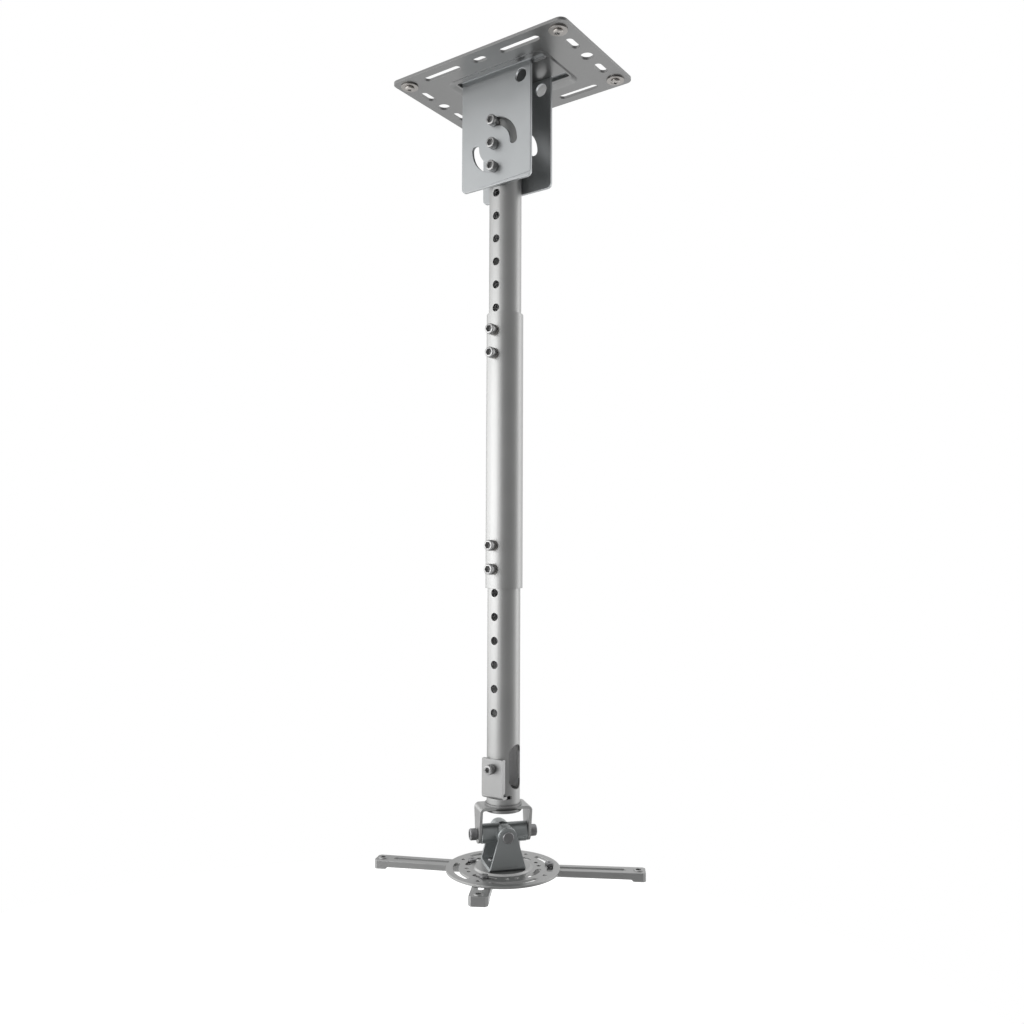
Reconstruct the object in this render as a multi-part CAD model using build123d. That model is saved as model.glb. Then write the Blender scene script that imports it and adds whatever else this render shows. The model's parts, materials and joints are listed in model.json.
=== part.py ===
"""Projector ceiling mount: a slotted ceiling plate, a tilting telescopic pole and a four-armed swivel head.

Millimetres, +Z up. The origin is the centre of the ceiling plate's upper face.
"""
import os
from math import atan2, cos, radians, sin, sqrt, tan

from build123d import *

# Ceiling plate, pressed sheet
plate_length = 222.0
plate_width = 145.0
plate_sheet = 3.0
plate_corner = 8.0
plate_slot_width = 8.5
long_slot_length = 48.0
long_slot_x = 50.0
slot_row_y = 58.0
short_slot_length = 16.0
side_slot_length = 20.0
side_slot_y = 28.5
side_row_x = 95.0
side_hole_diameter = 13.5
anchor_x = 96.5
pad_length = 115.6
pad_width = 67.6
pad_depth = 2.7
pad_wall_run = 5.2
pad_corner = 6.0
pad_centre_x = 1.5
cheek_slot_length = 111.5
cheek_slot_width = 10.0
cheek_slot_corner = 2.0

# Ceiling anchors: a washer and a cross-recess screw in each corner
anchor_hole_diameter = 6.5
anchor_washer_diameter = 19.0
anchor_washer_thickness = 1.6
anchor_head_diameter = 10.0
anchor_head_height = 2.6
anchor_head_chamfer = 1.3
anchor_recess_width = 1.6
anchor_recess_length = 5.6
anchor_recess_depth = 1.4

# Welded ceiling bracket
bracket_sheet = 3.5
bracket_cap_length = 114.0
bracket_cap_margin = 12.0
bracket_centre_x = -6.4
bracket_width = 90.8
bracket_drop = 122.0
bracket_corner = 5.0
bracket_hole_diameter = 14.0
bracket_hole_inset = 12.6
bracket_hole_drop = 11.0
pole_x = -7.8
pivot_drop = 77.5
arc_slot_width = 9.0

# Telescopic pole
tube_diameter = 35.0
tube_wall = 2.0
tube_end_margin = 16.0
hole_pitch = 25.0
bolt_row_gap = 26.5
tube_hole_diameter = 8.6
upper_free_holes = 6
lower_free_holes = 6
lower_tail = 94.5
sleeve_wall = 2.0
sleeve_length = 294.0
sleeve_screw_margin = 20.0
cable_slot_width = 20.0
cable_slot_height = 46.0
cable_slot_rise = 15.5

# Socket screws, washers and nuts of the pole
bracket_bolt_count = 3
clamp_screws_per_end = 2
screw_rim_chamfer = 0.4
bolt_diameter = 8.0
bolt_head_diameter = 11.5
bolt_head_height = 8.0
bolt_socket_width = 6.8
bolt_socket_depth = 4.0
spring_washer_thickness = 1.8
flat_washer_diameter = 16.0
flat_washer_thickness = 1.6
nut_width = 13.0
nut_height = 6.5
nut_rim_chamfer = 0.8
bolt_end_length = 2.0

# Folded plate that holds the swivel in the pole
lock_sheet = 3.0
lock_width = 26.0
lock_height = 41.0
lock_bend = 1.5
lock_mouth_back = 7.0
lock_screw_drop = 10.0
lock_screw_diameter = 6.0
lock_screw_head_diameter = 10.5
lock_screw_head_height = 8.0
lock_screw_socket_width = 5.0
lock_screw_socket_depth = 4.0
lock_screw_reach = 4.0

# Swivel and yoke
stub_length = 16.0
collar_diameter = 39.0
collar_thickness = 2.0
stub_neck_diameter = 20.0
stub_bore_diameter = 13.0
swivel_washer_diameter = 39.0
swivel_washer_thickness = 3.0
swivel_washer_edge = 0.6
groove_depth = 4.5
groove_rise = 8.0
yoke_sheet = 3.0
yoke_bend = 2.0
yoke_span = 50.0
yoke_top_width = 30.0
yoke_eye_radius = 9.5
axle_drop = 29.5

# Cross block with its two axles
barrel_diameter = 20.0
barrel_chamfer = 0.8
axle_diameter = 8.0
axle_thread_length = 14.0
axle_head_diameter = 12.0
axle_head_height = 8.0
axle_socket_width = 6.0
axle_socket_depth = 4.0
axle_peen_diameter = 12.2
block_hole_diameter = 9.0

# Trunnion bracket
trunnion_sheet = 3.0
trunnion_bend = 2.0
trunnion_span = 38.0
trunnion_base_width = 39.0
trunnion_eye_radius = 9.5
trunnion_height = 34.0
rivet_head_height = 1.6
rivet_head_chamfer = 1.2
rivet_diameter = 5.0
rivet_head_diameter = 9.0
rivet_x = 9.0
rivet_y = 11.0

# Mounting disc
disc_diameter = 120.0
disc_sheet = 2.5
disc_step_diameter = 62.0
disc_step_height = 2.0
inner_slot_radius = 38.0
outer_slot_radius = 49.5
disc_slot_width = 6.0
inner_slot_angle = 34.0
outer_slot_angle = 54.0
disc_hole_diameter = 4.2
disc_hole_spread = 8.0
head_turn = 50.0

# Arms of the head
arm_width = 20.0
arm_height = 7.0
arm_wall = 2.2
arm_slot_width = 6.4
arm_slot_margin = 5.0
long_arm_length = 124.0
short_arm_length = 76.0
arm_tail = 12.0
foot_length = 15.0
foot_height = 9.5
foot_chamfer = 3.0
foot_hole_diameter = 5.5
foot_boss_diameter = 10.0
foot_boss_height = 0.9
arm_screw_diameter = 5.0
arm_screw_head_diameter = 9.0
arm_screw_head_height = 2.6
arm_screw_socket_width = 3.0
arm_screw_socket_depth = 1.4
arm_nut_width = 9.0
arm_nut_height = 4.0
left_set_out = 5.0
front_set_out = 16.0
right_set_out = 11.0
rear_set_out = 10.0

# Clearances
sliding_clearance = 0.3
running_clearance = 0.08
seat_clearance = 0.1

# Values that follow from the sizes above
pad_wall_offset = plate_sheet * tan(atan2(pad_depth, pad_wall_run) / 2)
ceiling_z = pad_depth + bracket_sheet
tube_radius = tube_diameter / 2
tube_bore_radius = tube_radius - tube_wall
bracket_inner_y = tube_radius + sliding_clearance
bracket_outer_y = bracket_inner_y + bracket_sheet
cheek_slot_y = bracket_inner_y - sliding_clearance + cheek_slot_width / 2
sleeve_bore_radius = tube_radius + sliding_clearance
sleeve_radius = sleeve_bore_radius + sleeve_wall

pivot_z = -pivot_drop
bracket_bolt_z = [pivot_z + hole_pitch * (1 - row) for row in range(bracket_bolt_count)]
upper_free_z = bracket_bolt_z[-1] - bolt_row_gap
upper_hole_z = [upper_free_z - hole_pitch * row for row in range(upper_free_holes + clamp_screws_per_end)]
upper_top_z = bracket_bolt_z[0] + tube_end_margin
upper_length = upper_top_z - upper_hole_z[-1] + tube_end_margin
sleeve_top_z = upper_hole_z[upper_free_holes] + sleeve_screw_margin
sleeve_bottom_z = sleeve_top_z - sleeve_length
lower_hole_count = clamp_screws_per_end + lower_free_holes
lower_first_z = sleeve_bottom_z + sleeve_screw_margin + hole_pitch * (clamp_screws_per_end - 1)
lower_top_z = lower_first_z + tube_end_margin
lower_length = tube_end_margin + hole_pitch * (lower_hole_count - 1) + lower_tail
lower_bottom_z = lower_top_z - lower_length

stub_radius = tube_bore_radius - running_clearance
groove_radius = stub_radius - groove_depth
groove_z = lower_bottom_z + groove_rise
lock_front_y = -tube_radius - lock_sheet
lock_bottom_z = groove_z - lock_sheet / 2
lock_screw_z = lock_bottom_z + lock_height - lock_screw_drop
yoke_top_z = lower_bottom_z - seat_clearance - collar_thickness
axle_z = yoke_top_z - axle_drop
trunnion_foot_z = axle_z - trunnion_height
disc_top_z = trunnion_foot_z - disc_step_height
arm_top_z = disc_top_z - disc_sheet - seat_clearance
clamp_screw_z = [
    first_z - hole_pitch * row
    for first_z in (sleeve_top_z - sleeve_screw_margin, lower_first_z)
    for row in range(clamp_screws_per_end)
]

# Each arm as set in use: slot ring radius, screw angle, arm direction, length and distance of its screw from
# the inner end of its slot. Angles are about the head's own axis.
arm_settings = {
    "left": (inner_slot_radius, 135.0, 154.0, long_arm_length, left_set_out),
    "front": (inner_slot_radius, 225.0, 250.0, short_arm_length, front_set_out),
    "right": (outer_slot_radius, -6.0, -20.0, long_arm_length, right_set_out),
    "rear": (outer_slot_radius, 70.0, 70.0, short_arm_length, rear_set_out),
}


def frustum(length, width, corner, wide_z, narrow_z, shrink):
    """Rounded rectangle at wide_z that shrinks by `shrink` on every side on its way to narrow_z."""
    wide = Pos(0, 0, wide_z) * RectangleRounded(length, width, corner)
    narrow = Pos(0, 0, narrow_z) * RectangleRounded(
        length - 2 * shrink, width - 2 * shrink, corner - shrink / 2
    )
    return loft([wide, narrow], ruled=True)


def hex_socket(width, depth):
    """Hexagonal socket cut down from the XY plane."""
    return extrude(RegularPolygon(width / 2, 6, major_radius=False), -depth)


def socket_screw(diameter, length, head_diameter, head_height, socket_width, socket_depth):
    """Socket-head screw along Z: head above the XY plane, shank below it."""
    head = extrude(Circle(head_diameter / 2), head_height)
    rim = head.edges().group_by(Axis.Z)[-1]
    screw = chamfer(rim, screw_rim_chamfer) + extrude(Circle(diameter / 2), -length)
    return screw - Pos(0, 0, head_height) * hex_socket(socket_width, socket_depth)


def ring(outer_diameter, inner_diameter, thickness):
    """Flat washer standing on the XY plane."""
    return extrude(Circle(outer_diameter / 2) - Circle(inner_diameter / 2), thickness)


def facing_front(shape, y, z):
    """Turn a shape made along +Z so that it points to -Y at the pole's front, at depth y and height z."""
    return Pos(pole_x, y, z) * Rot(90, 0, 0) * shape


def drilled_front(z, diameter, depth):
    """Cutter for a hole in the pole's front wall at height z."""
    return facing_front(Pos(0, 0, -depth) * extrude(Circle(diameter / 2), 2 * depth), -tube_radius, z)


def ceiling_plate():
    """Slotted plate with a pad pressed up in its middle, on which the bracket's cap lies."""
    sheet = extrude(RectangleRounded(plate_length, plate_width, plate_corner), -plate_sheet)
    hollow_length = pad_length + 2 * pad_wall_run
    hollow_width = pad_width + 2 * pad_wall_run
    hollow_corner = pad_corner + pad_wall_run
    hollow_top = pad_depth - plate_sheet
    raised = frustum(
        hollow_length + 2 * pad_wall_offset,
        hollow_width + 2 * pad_wall_offset,
        hollow_corner,
        0,
        pad_depth,
        pad_wall_run,
    )
    hollow = frustum(hollow_length, hollow_width, hollow_corner, -plate_sheet, hollow_top, pad_wall_run)
    at_pad = Pos(pad_centre_x, 0, 0)
    plate = sheet + at_pad * raised - at_pad * hollow
    long_slot = SlotOverall(long_slot_length, plate_slot_width)
    short_slot = SlotOverall(short_slot_length, plate_slot_width)
    side_slot = SlotOverall(side_slot_length, plate_slot_width, 90)
    cheek_slot = RectangleRounded(cheek_slot_length, cheek_slot_width, cheek_slot_corner)
    holes = Sketch()
    for side in (-1, 1):
        for end in (-1, 1):
            holes += Pos(end * long_slot_x, side * slot_row_y) * long_slot
            holes += Pos(end * side_row_x, side * side_slot_y) * side_slot
            holes += Pos(end * anchor_x, side * slot_row_y) * Circle(anchor_hole_diameter / 2)
        holes += Pos(0, side * slot_row_y) * short_slot
        holes += Pos(side * side_row_x, 0) * Circle(side_hole_diameter / 2)
        holes += Pos(pad_centre_x, side * cheek_slot_y) * cheek_slot
    return plate - Pos(0, 0, pad_depth) * extrude(holes, -pad_depth - plate_sheet)


def at_anchors(shape):
    """The shape repeated under each corner hole of the plate, pointing down."""
    spots = [(end * anchor_x, side * slot_row_y) for end in (-1, 1) for side in (-1, 1)]
    return [Pos(x, y, -plate_sheet) * Rot(180, 0, 0) * shape for x, y in spots]


def anchor_washer():
    """Flat washer between a screw's head and the plate."""
    return ring(anchor_washer_diameter, anchor_hole_diameter, anchor_washer_thickness)


def anchor_screw():
    """Pan-head screw on its washer, its shank ending level with the ceiling."""
    head = extrude(Circle(anchor_head_diameter / 2), anchor_head_height)
    head = chamfer(head.edges().group_by(Axis.Z)[-1], anchor_head_chamfer)
    cross = Rectangle(anchor_recess_length, anchor_recess_width)
    recess = extrude(cross + Rot(0, 0, 90) * cross, -anchor_recess_depth)
    shank_length = anchor_washer_thickness + plate_sheet + ceiling_z
    shank = extrude(Circle(anchor_hole_diameter / 2 - sliding_clearance), -shank_length)
    return Pos(0, 0, anchor_washer_thickness) * (head - Pos(0, 0, anchor_head_height) * recess + shank)


def ceiling_bracket():
    """Cap plate on the pad and two cheeks welded under it, which pass the pad's slots and carry the pole."""
    cap_width = 2 * (bracket_outer_y + bracket_cap_margin)
    cap = extrude(RectangleRounded(bracket_cap_length, cap_width, bracket_corner), bracket_sheet)
    face = Pos(bracket_centre_x, pad_depth) * Rectangle(
        bracket_width, bracket_drop + pad_depth, align=(Align.CENTER, Align.MAX)
    )
    face = fillet(face.vertices().group_by(Axis.Y)[0], bracket_corner)
    pivot = Pos(pole_x, pivot_z)
    for start in (0, 180):
        face -= pivot * SlotArc(CenterArc((0, 0), hole_pitch, start, 90), arc_slot_width)
    face -= pivot * Circle(bolt_diameter / 2 + running_clearance)
    hole_x = bracket_centre_x + bracket_width / 2 - bracket_hole_inset
    face -= Pos(hole_x, -bracket_hole_drop) * Circle(bracket_hole_diameter / 2)
    cheek = extrude(Plane.XZ * face, bracket_sheet)
    front_cheek = Pos(0, -bracket_inner_y, 0) * cheek
    rear_cheek = Pos(0, bracket_outer_y, 0) * cheek
    return Pos(pad_centre_x, 0, pad_depth) * cap + front_cheek + rear_cheek


def bracket_bolt():
    """Long socket screw through both cheeks and the pole, along Z from the front cheek's face."""
    length = 2 * bracket_outer_y + flat_washer_thickness + nut_height + bolt_end_length
    return socket_screw(
        bolt_diameter, length, bolt_head_diameter, bolt_head_height, bolt_socket_width, bolt_socket_depth
    )


def rear_washer():
    """Flat washer behind the rear cheek, in the bolt's own direction."""
    washer = ring(flat_washer_diameter, bolt_diameter + 2 * running_clearance, flat_washer_thickness)
    return Pos(0, 0, -2 * bracket_outer_y - flat_washer_thickness) * washer


def rear_nut():
    """Hexagon nut behind the washer, with both rims broken."""
    nut = extrude(RegularPolygon(nut_width / 2, 6, major_radius=False), nut_height)
    cone = extrude(Circle(nut_width / sqrt(3)), nut_height)
    cone = chamfer(cone.edges().group_by(Axis.Z)[0] + cone.edges().group_by(Axis.Z)[-1], nut_rim_chamfer)
    nut = (nut & cone) - extrude(Circle(bolt_diameter / 2 + running_clearance), nut_height)
    return Pos(0, 0, -2 * bracket_outer_y - flat_washer_thickness - nut_height) * nut


def at_bracket(shape):
    """The shape repeated at the bracket's pivot and its two tilt locks."""
    return [facing_front(shape, -bracket_outer_y, z) for z in bracket_bolt_z]


def tube(radius, bore_radius, top_z, length):
    """Straight length of round tube on the pole's axis."""
    return Pos(pole_x, 0, top_z) * extrude(Circle(radius) - Circle(bore_radius), -length)


def upper_tube():
    """Upper pole tube: holes right through for the bracket's bolts, then a row of height holes in front."""
    pole = tube(tube_radius, tube_bore_radius, upper_top_z, upper_length)
    for z in bracket_bolt_z:
        pole -= drilled_front(z, tube_hole_diameter, 2 * tube_diameter)
    for z in upper_hole_z:
        pole -= drilled_front(z, tube_hole_diameter, tube_radius)
    return pole


def sleeve_tube():
    """Outer tube that the upper and lower tubes slide in, tapped for two clamp screws at each end."""
    sleeve = tube(sleeve_radius, sleeve_bore_radius, sleeve_top_z, sleeve_length)
    for z in clamp_screw_z:
        sleeve -= drilled_front(z, bolt_diameter + 2 * running_clearance, tube_radius)
    return sleeve


def clamp_screw():
    """Short socket screw whose tip stops level with the sleeve's bore, clear of the sliding tube."""
    return Pos(0, 0, spring_washer_thickness) * socket_screw(
        bolt_diameter,
        spring_washer_thickness + sleeve_wall,
        bolt_head_diameter,
        bolt_head_height,
        bolt_socket_width,
        bolt_socket_depth,
    )


def spring_washer():
    """Split washer under a clamp screw's head."""
    washer = ring(bolt_head_diameter, bolt_diameter + 2 * running_clearance, spring_washer_thickness)
    split = Box(bolt_head_diameter, spring_washer_thickness, bolt_head_diameter)
    return washer - Pos(bolt_head_diameter / 2, 0, 0) * split


def at_sleeve(shape):
    """The shape repeated at the four clamp screws of the sleeve."""
    return [facing_front(shape, -sleeve_radius, z) for z in clamp_screw_z]


def lower_tube():
    """Lower pole tube: height holes, the cable outlet and a saw cut for the lock plate's flange."""
    pole = tube(tube_radius, tube_bore_radius, lower_top_z, lower_length)
    for index in range(lower_hole_count):
        pole -= drilled_front(lower_first_z - hole_pitch * index, tube_hole_diameter, tube_radius)
    outlet = SlotOverall(cable_slot_height, cable_slot_width, 90)
    outlet_z = lower_bottom_z + cable_slot_rise + cable_slot_height / 2
    pole -= Pos(pole_x, 0, outlet_z) * extrude(Plane.YZ * outlet, tube_diameter)
    pole -= drilled_front(lock_screw_z, lock_screw_diameter + 2 * running_clearance, tube_radius)
    mouth = Box(tube_diameter, tube_radius, lock_sheet + 2 * sliding_clearance)
    return pole - Pos(pole_x, -lock_mouth_back - tube_radius / 2, groove_z) * mouth


def lock_plate():
    """Folded plate on the pole's front; its lower flange reaches through the wall into the stub's groove."""
    reach = -lock_front_y - groove_radius - sliding_clearance
    side = Pos(reach / 2, lock_height / 2) * Rectangle(reach, lock_height)
    hollow = Pos(lock_sheet, lock_sheet) * Rectangle(reach, lock_height, align=(Align.MIN, Align.MIN))
    side = fillet(side.vertices().group_by(Axis.Y)[0].sort_by(Axis.X)[0], lock_bend + lock_sheet) - hollow
    folded = extrude(Plane.YZ * side, lock_width / 2, both=True)
    corners = folded.edges().filter_by(Axis.Y).group_by(Axis.Z)[-1]
    folded = fillet(corners, lock_bend)
    wing_x = (lock_width - lock_sheet) / 2
    wing_bottom = lock_sheet + 2 * lock_bend
    wing_inner_x = lock_width / 2 - lock_sheet
    wing_depth = -lock_front_y - sqrt((tube_radius + sliding_clearance) ** 2 - wing_inner_x**2)
    for end in (-1, 1):
        wing = Pos(end * wing_x, wing_depth / 2, (lock_height + wing_bottom) / 2) * Box(
            lock_sheet, wing_depth, lock_height - wing_bottom
        )
        folded += fillet(wing.edges().filter_by(Axis.X), lock_bend)
    folded -= Pos(0, 0, lock_screw_z - lock_bottom_z) * Rot(90, 0, 0) * Cylinder(
        lock_screw_diameter / 2 + running_clearance, 4 * lock_sheet
    )
    return Pos(pole_x, lock_front_y, lock_bottom_z) * folded


def lock_screw():
    """Socket screw through the lock plate into the pole's wall."""
    return facing_front(
        socket_screw(
            lock_screw_diameter,
            lock_sheet + tube_wall + lock_screw_reach,
            lock_screw_head_diameter,
            lock_screw_head_height,
            lock_screw_socket_width,
            lock_screw_socket_depth,
        ),
        lock_front_y,
        lock_screw_z,
    )


def on_head(shape, z):
    """Set a piece made about the head's own axis on the pole's axis at height z, turned as the head is."""
    return Pos(pole_x, 0, z) * Rot(0, 0, head_turn) * shape


def swivel_stub():
    """Turned stub in the pole: a groove for the lock plate, a collar and a neck riveted through the yoke."""
    body_bottom = -yoke_sheet - swivel_washer_thickness
    profile = Polyline(
        (stub_bore_diameter / 2, body_bottom),
        (stub_neck_diameter / 2, body_bottom),
        (stub_neck_diameter / 2, 0),
        (collar_diameter / 2, 0),
        (collar_diameter / 2, collar_thickness),
        (stub_radius, collar_thickness),
        (stub_radius, groove_z - yoke_top_z - lock_sheet / 2 - sliding_clearance),
        (groove_radius, groove_z - yoke_top_z - lock_sheet / 2 - sliding_clearance),
        (groove_radius, groove_z - yoke_top_z + lock_sheet / 2 + sliding_clearance),
        (stub_radius, groove_z - yoke_top_z + lock_sheet / 2 + sliding_clearance),
        (stub_radius, stub_length),
        (stub_bore_diameter / 2, stub_length),
        close=True,
    )
    return on_head(revolve(Plane.XZ * make_face(profile), Axis.Z), yoke_top_z)


def swivel_washer():
    """Heavy washer under the yoke's web, held by the stub's riveted neck."""
    washer = ring(swivel_washer_diameter, stub_neck_diameter, swivel_washer_thickness)
    rim = washer.edges().filter_by(GeomType.CIRCLE).sort_by(SortBy.RADIUS)[-2:]
    washer = chamfer(rim, swivel_washer_edge)
    return on_head(washer, yoke_top_z - yoke_sheet - swivel_washer_thickness)


def eye_outline(base_width, height, eye_radius):
    """Cheek outline: a base on the X axis and sides that run tangent into a rounded eye `height` above it."""
    base_half = base_width / 2
    reach = sqrt(base_half**2 + height**2 - eye_radius**2)
    across = (base_half * eye_radius**2 + height * eye_radius * reach) / (base_half**2 + height**2)
    along = (height * eye_radius**2 - base_half * eye_radius * reach) / (base_half**2 + height**2)
    touch_x = across
    touch_y = height - along
    outline = Polyline((-touch_x, touch_y), (-base_half, 0), (base_half, 0), (touch_x, touch_y))
    outline += ThreePointArc((touch_x, touch_y), (0, height + eye_radius), (-touch_x, touch_y))
    return make_face(outline)


def folded_u(span, sheet, bend, width, height):
    """Sheet folded to a U along Y: web on the XY plane, legs rising to `height`, `span` apart inside."""
    outer = Pos(0, height / 2) * Rectangle(span + 2 * sheet, height)
    outer = fillet(outer.vertices().group_by(Axis.Y)[0], bend + sheet)
    inner = Pos(0, sheet + height / 2) * Rectangle(span, height)
    inner = fillet(inner.vertices().group_by(Axis.Y)[0], bend)
    return extrude(Plane.XZ * (outer - inner), width / 2, both=True)


def yoke():
    """Inverted U that hangs on the swivel; its tapered legs carry the tilt axle."""
    outer_span = yoke_span + 2 * yoke_sheet
    full = folded_u(yoke_span, yoke_sheet, yoke_bend, yoke_top_width, axle_drop + yoke_eye_radius)
    cheek = eye_outline(yoke_top_width, axle_drop, yoke_eye_radius)
    cheek -= Pos(0, axle_drop) * Circle(axle_diameter / 2 + running_clearance)
    legs = full & extrude(Plane.YZ * cheek, outer_span, both=True)
    legs -= extrude(Circle(stub_neck_diameter / 2), yoke_sheet)
    return on_head(Rot(180, 0, 0) * legs, yoke_top_z)


def cross_block():
    """Cast block of two crossed barrels: one between the yoke's legs, one between the trunnion's cheeks."""
    tilt_length = yoke_span - 2 * sliding_clearance
    roll_length = trunnion_span - 2 * sliding_clearance
    tilt_barrel = Rot(0, 90, 0) * Cylinder(barrel_diameter / 2, tilt_length)
    roll_barrel = Rot(90, 0, 0) * Cylinder(barrel_diameter / 2, roll_length)
    block = chamfer(tilt_barrel.edges().filter_by(GeomType.CIRCLE), barrel_chamfer)
    block += chamfer(roll_barrel.edges().filter_by(GeomType.CIRCLE), barrel_chamfer)
    block -= extrude(Circle(block_hole_diameter / 2), barrel_diameter / 2)
    for turn in (0, 180):
        tapped = Pos(tilt_length / 2, 0, 0) * Rot(0, -90, 0) * Cylinder(
            axle_diameter / 2,
            axle_thread_length,
            align=(Align.CENTER, Align.CENTER, Align.MIN),
        )
        block -= Rot(0, 0, turn) * tapped
    block -= Rot(90, 0, 0) * Cylinder(axle_diameter / 2 + running_clearance, roll_length)
    return on_head(block, axle_z)


def yoke_axle_screws():
    """Two socket screws through the yoke's legs into the ends of the tilt barrel."""
    outer = yoke_span / 2 + yoke_sheet + seat_clearance
    length = outer - (yoke_span / 2 - sliding_clearance - axle_thread_length) - sliding_clearance
    screw = socket_screw(
        axle_diameter, length, axle_head_diameter, axle_head_height, axle_socket_width, axle_socket_depth
    )
    return [on_head(Rot(0, 0, turn) * Pos(outer, 0, 0) * Rot(0, 90, 0) * screw, axle_z) for turn in (0, 180)]


def trunnion():
    """Folded bracket on the disc; its triangular cheeks carry the roll axle."""
    outer_span = trunnion_span + 2 * trunnion_sheet
    full_height = trunnion_height + trunnion_eye_radius
    full = folded_u(trunnion_span, trunnion_sheet, trunnion_bend, trunnion_base_width, full_height)
    cheek = eye_outline(trunnion_base_width, trunnion_height, trunnion_eye_radius)
    cheek -= Pos(0, trunnion_height) * Circle(axle_diameter / 2)
    bracket = full & extrude(Plane.YZ * cheek, outer_span, both=True)
    for x, y in rivet_spots():
        bracket -= Pos(y, x, 0) * extrude(Circle(rivet_diameter / 2), trunnion_sheet)
    return on_head(Rot(0, 0, 90) * bracket, trunnion_foot_z)


def trunnion_axle():
    """Plain pin through the cheeks and the roll barrel, peened over at both ends."""
    outer = trunnion_span / 2 + trunnion_sheet
    pin = Rot(90, 0, 0) * Cylinder(axle_diameter / 2, 2 * outer)
    for turn in (0, 180):
        head = extrude(Circle(axle_peen_diameter / 2), rivet_head_height)
        head = chamfer(head.edges().group_by(Axis.Z)[-1], rivet_head_chamfer)
        pin += Rot(0, 0, turn) * Pos(0, -outer, 0) * Rot(90, 0, 0) * head
    return on_head(pin, axle_z)


def rivet_spots():
    """Places of the trunnion's rivets about the head's axis."""
    return [(x, y) for x in (-rivet_x, rivet_x) for y in (-rivet_y, rivet_y)]


def trunnion_rivets():
    """Four dome-headed rivets from the trunnion's web through the disc, flush in the disc's step below."""
    head = extrude(Circle(rivet_head_diameter / 2), rivet_head_height)
    head = chamfer(head.edges().group_by(Axis.Z)[-1], rivet_head_chamfer)
    rivet = head + extrude(Circle(rivet_diameter / 2), -trunnion_sheet - disc_sheet)
    return [on_head(Pos(x, y, trunnion_sheet) * rivet, trunnion_foot_z) for x, y in rivet_spots()]


def mounting_disc():
    """Pressed disc with a raised middle and two rings of arc slots and small holes."""
    disc = extrude(Circle(disc_diameter / 2), -disc_sheet)
    step_radius = disc_step_diameter / 2
    under_radius = step_radius - disc_sheet * (sqrt(2) - 1)
    on_base = (Align.CENTER, Align.CENTER, Align.MIN)
    outer_cone = Cone(step_radius, step_radius - disc_step_height, disc_step_height, align=on_base)
    under_cone = Cone(under_radius, under_radius - disc_step_height, disc_step_height, align=on_base)
    disc += outer_cone
    disc -= Pos(0, 0, -disc_sheet) * under_cone
    holes = Sketch()
    for quarter in range(4):
        turn = Rot(0, 0, 90 * quarter)
        outer_arc = CenterArc((0, 0), outer_slot_radius, -outer_slot_angle / 2, outer_slot_angle)
        inner_arc = CenterArc((0, 0), inner_slot_radius, 45 - inner_slot_angle / 2, inner_slot_angle)
        holes += turn * SlotArc(outer_arc, disc_slot_width)
        holes += turn * SlotArc(inner_arc, disc_slot_width)
        holes += turn * Rot(0, 0, 45) * Pos(outer_slot_radius, 0) * Circle(disc_hole_diameter / 2)
        for spread in (-disc_hole_spread, disc_hole_spread):
            holes += turn * Rot(0, 0, spread) * Pos(inner_slot_radius, 0) * Circle(disc_hole_diameter / 2)
    disc -= extrude(holes, -disc_sheet)
    for x, y in rivet_spots():
        disc -= Pos(x, y, 0) * Cylinder(rivet_diameter / 2, 2 * (disc_sheet + disc_step_height))
    return on_head(disc, disc_top_z)


def on_arm_screw(name, shape, turned):
    """Set a piece made about an arm's screw in place, turned along the arm where it follows the arm."""
    radius, angle, direction, _, _ = arm_settings[name]
    spot = Pos(radius * cos(radians(angle)), radius * sin(radians(angle)), 0)
    return on_head(spot * Rot(0, 0, direction if turned else 0) * shape, arm_top_z)


def arm(name):
    """Cast arm: an inverted channel with a long slot, ending in a thicker foot with the fixing hole."""
    _, _, _, length, set_out = arm_settings[name]
    reach = length - arm_tail - set_out
    body = Box(length, arm_width, arm_height, align=(Align.MAX, Align.CENTER, Align.MAX))
    body -= Pos(-foot_length, 0, -arm_wall) * Box(
        length, arm_width - 2 * arm_wall, arm_height, align=(Align.MAX, Align.CENTER, Align.MAX)
    )
    foot = Box(foot_length, arm_width, foot_height, align=(Align.MAX, Align.CENTER, Align.MAX))
    foot = chamfer(foot.edges().filter_by(Axis.Z).group_by(Axis.X)[-1], foot_chamfer)
    step = foot.edges().filter_by(Axis.Y).group_by(Axis.Z)[0].sort_by(Axis.X)[0]
    foot = chamfer(step, foot_height - arm_height)
    ends = Box(length, arm_width, 2 * foot_height, align=(Align.MAX, Align.CENTER, Align.CENTER))
    ends = chamfer(ends.edges().filter_by(Axis.Z), foot_chamfer)
    body = (body + foot) & ends
    hole_x = -foot_length / 2
    body += Pos(hole_x, 0, 0) * extrude(Circle(foot_boss_diameter / 2), foot_boss_height)
    body -= Pos(hole_x, 0, 0) * Cylinder(foot_hole_diameter / 2, 3 * foot_height)
    slot_end = -foot_length - arm_slot_margin - arm_slot_width / 2
    slot_start = -length + arm_tail
    slot = Pos((slot_end + slot_start) / 2, 0) * SlotCenterToCenter(slot_end - slot_start, arm_slot_width)
    body -= extrude(slot, -arm_wall)
    return on_arm_screw(name, Pos(reach, 0, 0) * body, True)


def arm_screw(name):
    """Low-headed screw that clamps an arm under the disc."""
    length = seat_clearance + disc_sheet + arm_wall + arm_nut_height + 2 * seat_clearance
    screw = socket_screw(
        arm_screw_diameter,
        length,
        arm_screw_head_diameter,
        arm_screw_head_height,
        arm_screw_socket_width,
        arm_screw_socket_depth,
    )
    return on_arm_screw(name, Pos(0, 0, disc_sheet + 2 * seat_clearance) * screw, False)


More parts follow.
